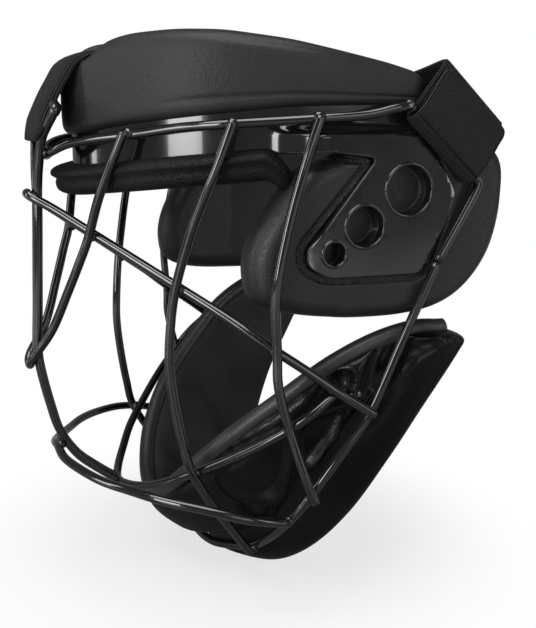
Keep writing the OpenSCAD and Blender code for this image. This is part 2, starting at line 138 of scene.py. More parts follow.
cheek_path = [on_wire(brow_half, 65.3) + above,
              *points((66.3, -26.6, 196), (63.4, -30.6, 185), (59, -34.6, 172), (54.3, -38.2, 157)),
              on_wire(guard_half, 48.5),
              *points((49.2, -42.6, 130), (48.5, -43.6, 112), (49, -42, 94), (50.5, -39, 76)),
              on_wire(mouth_half, 50), *points((53, -24, 42), (51.5, -8.25, 19.2))]
temple_path = [on_wire(brow_half, 79) + above, *points((82.8, 2.7, 194), (81.8, -4, 169), (81, -8.3, 144)),
               on_wire(guard_half, 76.5), *points((80.8, -7, 105)), on_wire(mouth_half, 78.5, 1.15),
               *points((87.1, 2.2, 67.5), (89, 6.2, 56.1))]


def effect(name, inputs, outputs):
    """A node group with named sockets; gives the group with its input and output nodes."""
    group = bpy.data.node_groups.new(name, "ShaderNodeTree")
    for label, kind, value in inputs:
        socket = group.interface.new_socket(label, in_out="INPUT", socket_type="NodeSocket" + kind)
        if value is not None:
            socket.default_value = value
    for label, kind in outputs:
        group.interface.new_socket(label, in_out="OUTPUT", socket_type="NodeSocket" + kind)
    return group, group.nodes.new("NodeGroupInput"), group.nodes.new("NodeGroupOutput")


def node(tree, kind, settings=None, **links):
    """A node with its settings, its inputs linked to sockets or set to numbers."""
    made = tree.nodes.new("ShaderNode" + kind)
    for key, value in (settings or {}).items():
        setattr(made, key, value)
    for key, value in links.items():
        socket = made.inputs[int(key[1:])] if key[0] == "_" else made.inputs[key.replace("_", " ")]
        if isinstance(value, bpy.types.NodeSocket):
            tree.links.new(value, socket)
        else:
            socket.default_value = value
    return made


# Cloudy change of tone and gloss, as handled paint, foam and leather have
tone, tone_in, tone_out = effect(
    "tone", [("Vector", "Vector", None), ("Scale", "Float", 20.0), ("Dark", "Color", (0, 0, 0, 1)),
             ("Light", "Color", (1, 1, 1, 1)), ("Smooth", "Float", 0.3), ("Rough", "Float", 0.5)],
    [("Color", "Color"), ("Roughness", "Float")])
cloud = node(tone, "TexNoise", Vector=tone_in.outputs["Vector"], Scale=tone_in.outputs["Scale"], Detail=5.0)
shade = node(tone, "MapRange", Value=cloud.outputs[0], From_Min=0.35, From_Max=0.65)
blend = node(tone, "Mix", {"data_type": "RGBA"}, _0=shade.outputs["Result"], _6=tone_in.outputs["Dark"],
             _7=tone_in.outputs["Light"])
gloss = node(tone, "MapRange", Value=shade.outputs["Result"], To_Min=tone_in.outputs["Smooth"],
             To_Max=tone_in.outputs["Rough"])
tone.links.new(blend.outputs[2], tone_out.inputs["Color"])
tone.links.new(gloss.outputs["Result"], tone_out.inputs["Roughness"])


def finish(name, dark, light, smooth, rough, scale, **sockets):
    """A material whose colour and gloss change by the tone group; gives it with its tree and shader."""
    material = bpy.data.materials.new(name)
    material.use_nodes = True
    tree = material.node_tree
    shader = tree.nodes["Principled BSDF"]
    place = node(tree, "TexCoord").outputs["Object"]
    cover = node(tree, "Group", {"node_tree": tone}, Vector=place, Scale=scale, Dark=(*dark, 1),
                 Light=(*light, 1), Smooth=smooth, Rough=rough)
    tree.links.new(cover.outputs["Color"], shader.inputs["Base Color"])
    tree.links.new(cover.outputs["Roughness"], shader.inputs["Roughness"])
    for key, value in sockets.items():
        shader.inputs[key.replace("_", " ")].default_value = value
    return material, tree, shader, place


def relief(tree, shader, height, distance):
    """A bump from this height, whose full depth is this many metres."""
    bump = node(tree, "Bump", Height=height, Strength=1.0, Distance=distance)
    tree.links.new(bump.outputs["Normal"], shader.inputs["Normal"])


wire_paint, tree, shader, place = finish("gloss_black_paint", (0.003, 0.003, 0.0035), (0.005, 0.005, 0.006),
                                         0.08, 0.14, 40.0, Specular_IOR_Level=0.4, Coat_Weight=1.0,
                                         Coat_Roughness=0.05)
peel = node(tree, "TexNoise", Vector=place, Scale=700.0, Detail=2.0)
relief(tree, shader, peel.outputs[0], 0.00004)


def new_piece(name, bm, material, body="cage"):
    """An object from a bmesh, at the origin, that rides on a body."""
    mesh = bpy.data.meshes.new(name)
    bm.to_mesh(mesh)
    bm.free()
    mesh.materials.append(material)
    piece = bpy.data.objects.new(name, mesh)
    bpy.context.scene.collection.objects.link(piece)
    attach(piece, body)
    return piece


def tube(path, radius):
    """A round bar along a path, its two cut ends broken by a small bevel."""
    curve = bpy.data.curves.new("route", "CURVE")
    curve.dimensions = "3D"
    curve.bevel_depth = radius * mm
    curve.bevel_resolution = 6
    curve.use_fill_caps = True
    line = curve.splines.new("POLY")
    line.points.add(len(path) - 1)
    for point, p in zip(line.points, path):
        point.co = (*(p * mm), 1)
    holder = bpy.data.objects.new("route", curve)
    mesh = bpy.data.meshes.new_from_object(holder)
    bpy.data.objects.remove(holder)
    bm = bmesh.new()
    bm.from_mesh(mesh)
    bmesh.ops.remove_doubles(bm, verts=bm.verts, dist=1e-7)
    caps = [f for f in bm.faces if len(f.verts) > 4]
    rims = list({e for f in caps for e in f.edges})
    for f in bm.faces:
        f.smooth = len(f.verts) == 4
    bmesh.ops.bevel(bm, geom=rims, offset=cut_bevel * mm, segments=2, profile=0.5, affect="EDGES",
                    material=-1)
    return bm


def steel_wire(name, keys):
    """One bent wire of the cage, named after the part that it stands for."""
    piece = new_piece(f"{name}_bent", tube(through(keys, wire_steps), wire_r), wire_paint)
    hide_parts(name)


steel_wire("upper_frame_wire", both_sides(upper_half))
steel_wire("lower_frame_wire", both_sides(lower_half))
steel_wire("nose_wire", both_sides(nose_half))
steel_wire("guard_bar", both_sides(guard_half))
steel_wire("mouth_bar", both_sides(mouth_half))
steel_wire("chin_bar", both_sides(chin_half))
steel_wire("centre_bar", mirrored(centre_leg)[::-1] + centre_leg)
for side, end in two_sides:
    steel_wire(f"cheek_bar_{end}", mirrored(cheek_path, side))
    steel_wire(f"temple_bar_{end}", mirrored(temple_path, side))


# Weld beads: where two wires cross, the spot weld leaves a small lump of steel in the corners
# between them, under the same paint.
bead_long, bead_short, bead_dents = 2.5, 1.5, 0.25


def crossing(a, b):
    """Where two routes pass nearest to each other: the place and the direction from one to the other."""
    p, q = min(((p, q) for p in a for q in b), key=lambda pair: (pair[0] - pair[1]).length_squared)
    return (p + q) / 2, (q - p).normalized()


welds = bmesh.new()
fine = {key: through(route, 6) for key, route in (
    ("upper", upper_half), ("lower", lower_half), ("leg", centre_leg), ("mouth", mouth_half),
    ("guard", guard_half), ("chin", chin_half), ("nose", nose_half), ("cheek", cheek_path),
    ("temple", temple_path))}
for first, second in (("upper", "nose"), ("upper", "cheek"), ("upper", "temple"), ("guard", "nose"),
                      ("guard", "cheek"), ("guard", "temple"), ("guard", "lower"), ("mouth", "cheek"),
                      ("mouth", "temple"), ("mouth", "lower"), ("lower", "cheek"), ("lower", "temple"),
                      ("lower", "chin"), ("upper", "leg"), ("chin", "leg"), ("nose", "leg")):
    middle, way = crossing(fine[first], fine[second])
    for side in (1, -1):
        spot, across = mirrored((middle, way), side)
        turn = across.to_track_quat("Z", "Y").to_matrix().to_4x4()
        form = Matrix.Diagonal((bead_long, bead_long, bead_short, 1))
        bmesh.ops.create_icosphere(welds, subdivisions=3, radius=mm,
                                   matrix=Matrix.Translation(spot * mm) @ turn @ form)
for v in welds.verts:
    v.co += v.co.normalized() * noise.noise(v.co * 900) * bead_dents * mm
for f in welds.faces:
    f.smooth = True
piece = new_piece("weld_beads", welds, wire_paint)


# Brow shell: a gloss black moulding. Its band runs round the brow under the pad, and a flat plate
# with three rimmed holes hangs from each end of it over the temple pad.
band_in, band_lap, band_h, shell_t = 4.0, 6.0, 26.0, 3.0
edge_round = 0.5
plate_face, plate_round = 84.4, 3.0
shell_steps, hole_steps, rim_steps = 130, 40, 48
# Depth, height and width of each hole, from the largest
hole_places = ((49, 184, 20), (29, 170, 16), (15.5, 159.5, 9))
# Section of a rim: how far out from the hole, and how high over the plate
rim_section = ((0, -3.2), (0, -1.5), (0.1, 0.45), (0.4, 0.75), (0.8, 0.8), (1.2, 0.65), (1.5, 0.3),
               (1.6, -0.3))
brow_keys = points((0, -75, 0), (15, -71, 0), (32, -58, 0), (49, -41.5, 0), (62, -24, 0), (74, 1, 0),
                   (79.5, 20, 0), (82, 42, 0), (82, 60, 0))
brow_plan = through(both_sides(brow_keys), 10)


def along(path):
    """A path by its length: a function from 0 to 1 that gives place and direction, and the length."""
    lengths = [0.0]
    for a, b in zip(path, path[1:]):
        lengths.append(lengths[-1] + (b - a).length)

    def spot(t):
        s = min(max(t, 0), 1) * lengths[-1]
        i = min(max(bisect_right(lengths, s) - 1, 0), len(path) - 2)
        return path[i].lerp(path[i + 1], (s - lengths[i]) / (lengths[i + 1] - lengths[i]))

    def place(t):
        way = (spot(t + 0.004) - spot(t - 0.004)).normalized()
        return spot(t), way
    return place, lengths[-1]


def table(pairs, v):
    """Straight between pairs of place and value."""
    for (a, x), (b, y) in zip(pairs, pairs[1:]):
        if v <= b:
            return x if v <= a else x + (y - x) * (v - a) / (b - a)
    return pairs[-1][1]


def flowing(pairs, v, reach=6.0):
    """The same table with its corners rounded off."""
    return sum(table(pairs, v + reach * k / 3) * (4 - abs(k)) for k in range(-3, 4)) / 16


def ease(a, b, v):
    """0 up to a, 1 from b on, and a soft step between the two."""
    t = min(max((v - a) / (b - a), 0), 1)
    return t * t * (3 - 2 * t)


def outward(way):
    """The level direction out of the mask, square to a route round the brow."""
    return Vector((way.y, -way.x, 0))


def pad_low(y):
    """Height of the forehead pad's lower edge at this depth."""
    return flowing(((-78, 210), (-40, 215), (0, 219), (60, 220)), y)


plan_at, plan_length = along(brow_plan)
# The shell's pattern is longer than the band, because its side plates reach further back
shell_at, shell_length = along(through(both_sides(brow_keys + points((82, 80, 0))), 10))


def shell_face(t, z):
    """Outer face of the shell at a place along the band and a height, and the direction out of it."""
    p, way = shell_at(t)
    out = outward(way)
    q = p - out * band_in
    flare = ease(-6, 12, q.y) * ease(211, 205.5, z)
    side = 1 if q.x > 0 else -1
    face = Vector((q.x + (side * plate_face - q.x) * flare, q.y, z))
    return face, out.lerp(Vector((side, 0, 0)), flare).normalized()


# The pattern is drawn flat, as distance along the band and height, and then bent round the brow
def band_depth(t):
    """How far back the band's outer face is at this place along it."""
    p, way = shell_at(t)
    return (p - outward(way) * band_in).y


def band_place(y):
    """How far along half the band this depth lies, from 0.5 to 1."""
    low, high = 0.5, 1.0
    for _ in range(30):
        middle = (low + high) / 2
        low, high = (middle, high) if band_depth(middle) < y else (low, middle)
    return low


def rounded(corners, radius):
    """A closed outline with its corners rounded by short arcs."""
    outline = []
    for i, (x, y) in enumerate(corners):
        p, a, b = Vector((x, y)), Vector(corners[i - 1]), Vector(corners[(i + 1) % len(corners)])
        r = min(radius, (a - p).length / 2.2, (b - p).length / 2.2)
        start, end = p + (a - p).normalized() * r, p + (b - p).normalized() * r
        for k in range(6):
            t = k / 5
            outline.append(start * (1 - t) ** 2 + p * 2 * t * (1 - t) + end * t * t)
    return outline


plate_edge = ((14, 199.6), (34, 197), (5, 161), (5.6, 154), (13, 149.6), (55, 149), (62, 154), (72.2, 181.7),
              (64.6, 194.6), (55, 203.5), (54, 212))
plate_start, band_end = band_place(8), band_place(59)
lower_line = [0.5 + i * (plate_start - 0.5) / 24 for i in range(24)]
upper_line = [band_end + i * (0.5 - band_end) / 30 for i in range(31)]
half_line = [Vector((t * shell_length, pad_low(band_depth(t)) + band_lap - band_h)) for t in lower_line]
half_line += [Vector((band_place(q.x) * shell_length, q.y)) for q in rounded(plate_edge, plate_round)[3:-3]]
half_line += [Vector((t * shell_length, pad_low(band_depth(t)) + band_lap)) for t in upper_line]
middle_s = 0.5 * shell_length
full_line = half_line + [Vector((2 * middle_s - q.x, q.y)) for q in reversed(half_line)][1:-1]
pattern = bpy.data.curves.new("shell_pattern", "CURVE")
pattern.dimensions = "2D"
pattern.fill_mode = "BOTH"
pattern.extrude = (shell_t / 2 - edge_round) * mm
pattern.bevel_depth = edge_round * mm
pattern.bevel_resolution = 2
pattern.offset = -edge_round * mm
loops = [full_line]
for y, z, d in hole_places:
    for side in (1, -1):
        ring = []
        for k in range(hole_steps):
            angle = k * math.tau / hole_steps
            s = band_place(y + d / 2 * math.cos(angle)) * shell_length
            ring.append(Vector((s if side > 0 else 2 * middle_s - s, z + d / 2 * math.sin(angle))))
        loops.append(ring)
for loop in loops:
    line = pattern.splines.new("POLY")
    line.points.add(len(loop) - 1)
    line.use_cyclic_u = True
    for point, q in zip(line.points, loop):
        point.co = (q.x * mm, q.y * mm, 0, 1)
holder = bpy.data.objects.new("shell_pattern", pattern)
flat = bpy.data.meshes.new_from_object(holder)
bpy.data.objects.remove(holder)
shell = bmesh.new()
shell.from_mesh(flat)
bmesh.ops.remove_doubles(shell, verts=shell.verts, dist=1e-6)


def cut_line(place, normal):
    """One more row of edges across the flat pattern, so that it can bend there."""
    bmesh.ops.bisect_plane(shell, geom=[*shell.verts, *shell.edges, *shell.faces], dist=1e-7, plane_co=place,
                           plane_no=normal)


for i in range(1, shell_steps):
    cut_line((shell_length * i / shell_steps * mm, 0, 0), (1, 0, 0))
for z in (*range(168, 201, 6), *range(204, 213)):
    cut_line((0, z * mm, 0), (0, 1, 0))
for v in shell.verts:
    face, out = shell_face(v.co.x / mm / shell_length, v.co.y / mm)
    v.co = (face - out * (shell_t / 2 - v.co.z / mm)) * mm
for y, z, d in hole_places:
    for side in (1, -1):
        ring = bmesh.new()
        edge = [ring.verts.new((0, (d / 2 + r) * mm, h * mm)) for r, h in rim_section]
        lines = [ring.edges.new(pair) for pair in zip(edge, edge[1:] + edge[:1])]
        bmesh.ops.spin(ring, geom=edge + lines, cent=(0, 0, 0), axis=(0, 0, 1), angle=math.tau,
                       steps=rim_steps, use_merge=True, use_duplicate=False)
        bmesh.ops.remove_doubles(ring, verts=ring.verts, dist=1e-7)
        for v in ring.verts:
            v.co = Vector((side * (plate_face * mm + v.co.z), y * mm + v.co.x, z * mm + v.co.y))
        bmesh.ops.recalc_face_normals(ring, faces=ring.faces)
        lump = bpy.data.meshes.new("rim")
        ring.to_mesh(lump)
        shell.from_mesh(lump)
        ring.free()
for f in shell.faces:
    f.smooth = True
bmesh.ops.recalc_face_normals(shell, faces=shell.faces)

shell_gloss, tree, shader, place = finish("gloss_shell_plastic", (0.004, 0.004, 0.0045),
                                          (0.008, 0.008, 0.009), 0.1, 0.2, 30.0, Specular_IOR_Level=0.5,
                                          Coat_Weight=0.8, Coat_Roughness=0.06)
wave = node(tree, "TexNoise", Vector=place, Scale=25.0, Detail=1.0)
relief(tree, shader, wave.outputs[0], 0.0008)
piece = new_piece("brow_shell_moulded", shell, shell_gloss)
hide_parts("brow_shell")


def closed_skin(steps_u, steps_w, place_of):
    """A closed form whose corners are placed by a function of two numbers from 0 to 1, with a UV map."""
    bm = bmesh.new()
    bm.loops.layers.uv.new("UVMap")
    bmesh.ops.create_grid(bm, x_segments=steps_u, y_segments=steps_w, size=1.0, calc_uvs=True)
    for v in bm.verts:
        v.co = place_of((v.co.x + 1) / 2, (v.co.y + 1) / 2) * mm
    bmesh.ops.remove_doubles(bm, verts=bm.verts, dist=1e-6)
    bmesh.ops.holes_fill(bm, edges=[e for e in bm.edges if e.is_boundary], sides=0)
    bmesh.ops.recalc_face_normals(bm, faces=bm.faces)
    for f in bm.faces:
        f.smooth = True
    return bm


# Forehead pad: soft foam in a stitched cover of black synthetic leather, glued round the brow shell.
# Its top rolls over to the inside, and the front strap presses it down at the middle.
forehead_t, forehead_h, forehead_round = 22.0, 30.0, 9.0
hem_depth, crease_depth = 0.8, 0.9
# The pad keeps this far below the middle of the strap that presses it
strap_seat = 1.9
pad_section = through(points(
    (0.78, -0.98, 0), (0.96, -0.82, 0), (1.0, -0.35, 0), (1.0, 0.25, 0), (0.97, 0.6, 0), (0.84, 0.83, 0),
    (0.5, 0.97, 0), (0.0, 1.0, 0), (-0.5, 0.97, 0), (-0.86, 0.8, 0), (-1.0, 0.35, 0), (-1.0, -0.4, 0),
    (-0.86, -0.84, 0), (-0.5, -0.98, 0), (0.1, -1.0, 0), (0.55, -1.0, 0), (0.78, -0.98, 0)), 6)
section_at, _ = along(pad_section)
strap_course = points((0, -89, 203), (0, -89.1, 207), (0, -88.2, 212), (0, -86, 217), (0, -83.3, 222.5),
                      (0, -79.5, 229), (0, -75.5, 235), (0, -69, 238.5), (0, -60, 239), (0, -40, 232),
                      (0, 0, 221), (0, 30, 217))
strap_side = through(strap_course, 8)


def pad_high(y):
    """Height of its upper edge, lower at the middle under the strap and towards the ends."""
    return pad_low(y) + forehead_h + flowing(((-82, -4), (-76, -3), (-71, 0), (-58, 4), (-42, 3), (-24, 0.5),
                                              (0, -5.5), (20, -10), (42, -15), (60, -20)), y)


def round_end(t, length, reach):
    """1 along a cushion, falling to 0 in a rounded end."""
    left = min(t, 1 - t) * length
    return 1.0 if left >= reach else math.sqrt(max(1 - (1 - left / reach) ** 2, 0))


def forehead_surface(u, w):
    p, way = plan_at(u)
    out = outward(way)
    q, _ = section_at(w)
    sag = flowing(((-80, 5.2), (-70, 4.2), (-58, 2.8), (-30, 2.2), (60, 1.5)), p.y)
    low, high = pad_low(p.y) - sag, pad_high(p.y)
    end = max(round_end(u, plan_length, forehead_round), 0.02)
    centre = p - out * forehead_t / 2 + Vector((0, 0, (low + high) / 2))
    rise = q.y * (high - low) / 2 * (0.35 + 0.65 * end)
    spot = centre + out * (q.x * forehead_t / 2 * end) + Vector((0, 0, rise))
    hem = hem_depth * math.exp(-((q.y + 0.62) / 0.05) ** 2) * ease(-50, -25, p.y)
    crease = crease_depth * math.exp(-((q.y - 0.8) / 0.09) ** 2) * ease(-40, -5, p.y)
    if q.x > 0.3:
        spot -= out * (hem + crease) * end
    press = 1 - ease(16.5, 24, abs(spot.x))
    if press and spot.y < -25 and q.y > 0:
        near = [s.z for s in strap_side if abs(s.y - spot.y) < 3.5 and s.z > 225]
        lid = min(near, default=300) - strap_seat
        spot.z = min(spot.z, spot.z + (lid - spot.z) * press)
    return spot


cover_grain, grain_in, grain_out = effect(
    "leather_grain", [("Vector", "Vector", None), ("Scale", "Float", 900.0)], [("Height", "Float")])
cells = node(cover_grain, "TexVoronoi", {"feature": "SMOOTH_F1"}, Vector=grain_in.outputs["Vector"],
             Scale=grain_in.outputs["Scale"])
fold = node(cover_grain, "TexNoise", Vector=grain_in.outputs["Vector"], Scale=120.0, Detail=4.0)
height = node(cover_grain, "Math", {"operation": "MULTIPLY_ADD"}, _0=fold.outputs[0], _1=1.5,
              _2=cells.outputs["Distance"])
cover_grain.links.new(height.outputs[0], grain_out.inputs["Height"])


def grained(name, dark, light, smooth, rough, scale, depth, **sockets):
    """A leather or vinyl cover with its grain."""
    material, tree, shader, place = finish(name, dark, light, smooth, rough, 14.0, **sockets)
    grain = node(tree, "Group", {"node_tree": cover_grain}, Vector=place, Scale=scale)
    relief(tree, shader, grain.outputs["Height"], depth)
    return material


brow_leather = grained("forehead_leather", (0.015, 0.015, 0.0155), (0.021, 0.021, 0.0215), 0.42, 0.5, 900.0,
                       0.00012, Specular_IOR_Level=0.3)
piece = new_piece("forehead_pad_cover", closed_skin(260, 132, forehead_surface), brow_leather)
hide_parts("forehead_pad")


# Brow liner: a strip of soft cell foam glued inside the band, that rests on the wearer's brow.
# It swells out below the band and ends in front of the temple pads.
liner_out, liner_t, liner_h, liner_lap, liner_round = 6.5, 12.0, 13.0, 3.0, 7.0
# Its ends bend down by the first number over the second
end_drop, end_run = 8.0, 13.0
liner_plan = [spot - outward(way) * (band_in - liner_out)
              for spot, way in (plan_at(i / 240) for i in range(241))]
liner_plan = [p - Vector((0, table(((-75, 2.5), (-45, 0)), p.y), 0)) for p in liner_plan if p.y < 3]
liner_at, liner_length = along(liner_plan)


def liner_surface(u, w):
    p, way = liner_at(u)
    out = outward(way)
    a = w * math.tau
    end = max(round_end(u, liner_length, liner_round), 0.02)
    high = pad_low(p.y) + band_lap - band_h + liner_lap
    low = high - liner_h
    t = liner_out + liner_t
    x = math.copysign(abs(math.cos(a)) ** 0.55, math.cos(a))
    z = math.copysign(abs(math.sin(a)) ** 0.6, math.sin(a))
    bend = 1 - ease(0, end_run, min(u, 1 - u) * liner_length)
    centre = p - out * (t / 2 + 2 * bend) + Vector((0, 0, (low + high) / 2 - end_drop * bend))
    if x > 0.4:
        # The outer face has a full roll, a crease under it and a body set back below
        roll = 1.2 * max(1 - ((z - 0.45) / 0.4) ** 2, 0)
        crease = 1.2 * math.exp(-(z / 0.1) ** 2)
        centre += out * (roll - crease - ease(0.05, -0.1, z)) * end
    return centre + out * (t / 2 * end * x) + Vector((0, 0, (high - low) / 2 * end * z))


foam_pores, pores_in, pores_out = effect(
    "foam_pores", [("Vector", "Vector", None), ("Scale", "Float", 600.0)], [("Height", "Float")])
bubbles = node(foam_pores, "TexVoronoi", Vector=pores_in.outputs["Vector"], Scale=pores_in.outputs["Scale"])
pits = node(foam_pores, "MapRange", Value=bubbles.outputs["Distance"], From_Min=0.05, From_Max=0.45)
foam_pores.links.new(pits.outputs["Result"], pores_out.inputs["Height"])


def foam(name, dark, light, smooth, rough, scale, depth, **sockets):
    """Cell foam, whose pores show as small pits."""
    material, tree, shader, place = finish(name, dark, light, smooth, rough, 22.0, **sockets)
    pores = node(tree, "Group", {"node_tree": foam_pores}, Vector=place, Scale=scale)
    # The floor of a groove is left rough by the mould
    in_groove = node(tree, "Attribute", {"attribute_name": "groove"})
    specks = node(tree, "TexNoise", Vector=place, Scale=1300.0, Detail=2.0)
    rough_floor = node(tree, "Math", {"operation": "MULTIPLY"}, _0=in_groove.outputs["Fac"],
                       _1=specks.outputs[0])
    total = node(tree, "Math", {"operation": "MULTIPLY_ADD"}, _0=rough_floor.outputs[0], _1=9.0,
                 _2=pores.outputs["Height"])
    relief(tree, shader, total.outputs[0], depth)
    return material


liner_foam = foam("liner_foam", (0.003, 0.003, 0.0032), (0.009, 0.009, 0.0095), 0.5, 0.65, 700.0, 0.0003,
                  Specular_IOR_Level=0.2)
piece = new_piece("brow_liner_foam", closed_skin(200, 72, liner_surface), liner_foam)
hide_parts("brow_liner")


# Temple pads: closed cell foam moulded to the side of the head. The plate of the brow shell lies in
# a shallow bed in the outer face, and a groove follows the plate's edge.
temple_t, bed_depth, bed_face, vent_depth = 20.0, 3.6, 81.0, 3.5
groove_depth, groove_end = 1.5, 64
# The outer face takes this share of the way round the section
outer_share = 0.62
temple_keys = [(8, 194), (-5, 179), (-14, 163), (-16, 149), (-11, 138), (10, 132), (50, 130.5), (76, 137),
               (93, 155), (99, 180), (94, 200), (62, 207), (30, 202)]
loop_keys = [Vector((*q, 0)) for q in temple_keys]
temple_outline = through([loop_keys[-1]] + loop_keys + loop_keys[:2], 16)[16:-17]
outline_at, _ = along(temple_outline + temple_outline[:1])
temple_middle = Vector((38, 168, 0))


def temple_x(y):
    """How far out the temple pad's outer face is at this depth."""
    return table(((-20, 72), (0, 77), (25, 82.5), (60, 84.2), (100, 83)), y)


def edge_gap(q, outline):
    """Distance from a place to an outline, less than zero inside it."""
    best, inside = 1e9, False
    for i, b in enumerate(outline):
        a = outline[i - 1]
        step = b - a
        t = min(max((q - a).dot(step) / max(step.length_squared, 1e-9), 0), 1)
        best = min(best, (q - a - step * t).length)
        if (a.y > q.y) != (b.y > q.y) and q.x < a.x + (q.y - a.y) / (b.y - a.y) * step.x:
            inside = not inside
    return -best if inside else best


# The groove follows the plate's edge, and runs on above it under the band
groove_line = plate_edge[:9] + ((50, 207.5), (20, 210))
groove_line = [Vector((*q, 0)) for q in rounded(groove_line[1:] + groove_line[:1], 5.0)]


def rounding(inset, radius):
    """How far a face has dropped at this distance in from a rounded edge, as a share."""
    k = min(inset / radius, 1)
    return 1 - math.sqrt(max(1 - (1 - k) ** 2, 0))


def temple_surface(u, w):
    rim, _ = outline_at(u)
    outer = w < outer_share
    t = w / outer_share if outer else (1 - w) / (1 - outer_share)
    scale = 0.002 + 0.998 * (t ** 0.85 if outer else t ** 0.9)
    q = temple_middle + (rim - temple_middle) * scale
    inset = (rim - q).length
    if not outer:
        return Vector((temple_x(q.x) - temple_t + rounding(inset, 10.0) * temple_t / 2, q.x, q.y))
    drop = rounding(inset, 9.0 if q.x < 20 else 7.0) * temple_t / 2
    gap = edge_gap(q, groove_line)
    if gap < 0.2:
        # The bed of the plate, with a deeper seat behind each hole
        drop += bed_depth * ease(0.2, -0.8, gap)
        drop = max(drop, temple_x(q.x) - bed_face if gap < -0.6 else drop)
        vent = min((q - Vector((y, z, 0))).length - d / 2 for y, z, d in hole_places)
        drop += vent_depth * ease(1.2, -0.6, vent)
    elif q.x < groove_end:
        drop += groove_depth * ease(0.1, 0.7, gap) * (1 - ease(2.6, 3.3, gap))
        drop += 0.5 * math.exp(-((gap - 3.0) / 0.5) ** 2)
    return Vector((temple_x(q.x) - drop, q.x, q.y))


temple_foam = foam("temple_foam", (0.014, 0.014, 0.0144), (0.021, 0.021, 0.0215), 0.32, 0.44, 1100.0,
                   0.00008, Specular_IOR_Level=0.35)
left_form = closed_skin(330, 124, temple_surface)
floor_mark = left_form.verts.layers.float.new("groove")
for v in left_form.verts:
    q = Vector((v.co.y / mm, v.co.z / mm, 0))
    if v.co.x > 76 * mm and q.x < groove_end:
        gap = edge_gap(q, groove_line)
        v[floor_mark] = ease(0.2, 0.6, gap) * (1 - ease(2.8, 3.4, gap))
for side, end in two_sides:
    bm = left_form.copy()
    if side < 0:
        bmesh.ops.scale(bm, vec=(-1, 1, 1), verts=bm.verts)
        bmesh.ops.recalc_face_normals(bm, faces=bm.faces)
    piece = new_piece(f"temple_pad_{end}_foam", bm, temple_foam)
    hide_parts(f"temple_pad_{end}")


# Jaw pad: foam in a cover of black vinyl that is sewn to a rolled edge along its front, and lined
# with cloth inside. It sits behind the lower bars and the frame wire, which dent its cover.
jaw_t, roll_d, fit_gap, jaw_round, jaw_length = 20.0, 8.0, 0.3, 9.0, 420
# The domed face takes this share of the way round the section, and the flat one the rest
dome_share = 0.75
dent_depth, dent_reach, lining_fold = 5.0, 12, 1.6
panel_depth, ridge_h, pleat_h, fold_h = 2.4, 1.3, 0.2, 2.4
jaw_front = points((0, -43, 38), (18, -40.5, 45), (35, -33, 60), (50, -19, 79), (62, 0, 97), (71, 19, 113),
                   (76, 38, 123), (78, 56, 127), (78.5, 68, 125))
jaw_rear = points((0, 6.5, 3.2), (18, 9.5, 4.2), (34, 17, 7.2), (51, 25, 20), (64, 36, 40), (72, 48, 64),
                  (76, 61.5, 88), (78, 73, 107), (78.5, 80, 120))
jaw_steps = 12
front_edge = through(both_sides(jaw_front), jaw_steps)
rear_edge = through(both_sides(jaw_rear), jaw_steps)
last = len(front_edge) - 1


def jaw_frame(u):
    """Front place, rear place and outward direction of the jaw pad, from arm to arm."""
    i = min(int(u * last), last - 1)
    f = u * last - i
    front, rear = front_edge[i].lerp(front_edge[i + 1], f), rear_edge[i].lerp(rear_edge[i + 1], f)
    j, k = max(i - 3, 0), min(i + 4, last)
    away = (rear_edge[k] - rear_edge[j]).normalized().cross(front - rear).normalized()
    return front + (rear - front).normalized() * roll_d * 0.6, rear, away


# Two panels are pressed into the cover on each side; places are distance along the pad and across it
along_jaw, across_jaw = 470.0, 66.0
panel_corners = (((0.662, 0.08), (0.745, 0.15), (0.722, 0.38), (0.69, 0.47), (0.66, 0.25)),
                 ((0.757, 0.16), (0.803, 0.28), (0.786, 0.36), (0.75, 0.43), (0.735, 0.40)))
jaw_panels = [[Vector((*q, 0)) for q in rounded([(u * along_jaw, v * across_jaw) for u, v in corners], 7.0)]
              for corners in panel_corners]
jaw_ridge = [Vector((u * along_jaw, v * across_jaw, 0)) for u, v in (
    (0.655, 0.66), (0.69, 0.58), (0.72, 0.53), (0.75, 0.49), (0.775, 0.46), (0.805, 0.40), (0.835, 0.36))]


def jaw_relief(u, v):
    """How far the cover stands out here: panels, the ridge beside the frame wire, pleats and folds."""
    u = abs(u - 0.5) + 0.5
    q = Vector((u * along_jaw, v * across_jaw, 0))
    rise = 0.0
    if 0.63 < u < 0.83:
        gap = min(edge_gap(q, panel) for panel in jaw_panels)
        rise -= panel_depth * ease(1.2, -2.2, gap)
        rise += 0.4 * math.exp(-((gap - 2.4) / 1.4) ** 2)
    near = min((q - a.lerp(b, min(max((q - a).dot(b - a) / (b - a).length_squared, 0), 1))).length
               for a, b in zip(jaw_ridge, jaw_ridge[1:]))
    rise += ridge_h * math.exp(-(near / 1.7) ** 2)
    pleat = math.sin(u * along_jaw * 0.8 + 1.2 * noise.noise(Vector((u * 12, v * 2, 2))))
    rise += pleat_h * pleat * math.exp(-v * across_jaw / 6) * ease(0.66, 0.69, u) * (1 - ease(0.77, 0.8, u))
    fold = 1 - 2.4 * abs(noise.noise(Vector((u * along_jaw * 0.032, v * across_jaw * 0.05, 7.3))))
    rise += fold_h * fold * ease(0.79, 0.83, u) * (1 - ease(0.95, 0.99, u)) * (1 - ease(0.3, 0.5, v))
    return rise


wire_places = [p for half in (lower_half, mouth_half, guard_half) for p in through(both_sides(half), 40)]
wires_near = kdtree.KDTree(len(wire_places))
for i, p in enumerate(wire_places):
    wires_near.insert(p, i)
wires_near.balance()


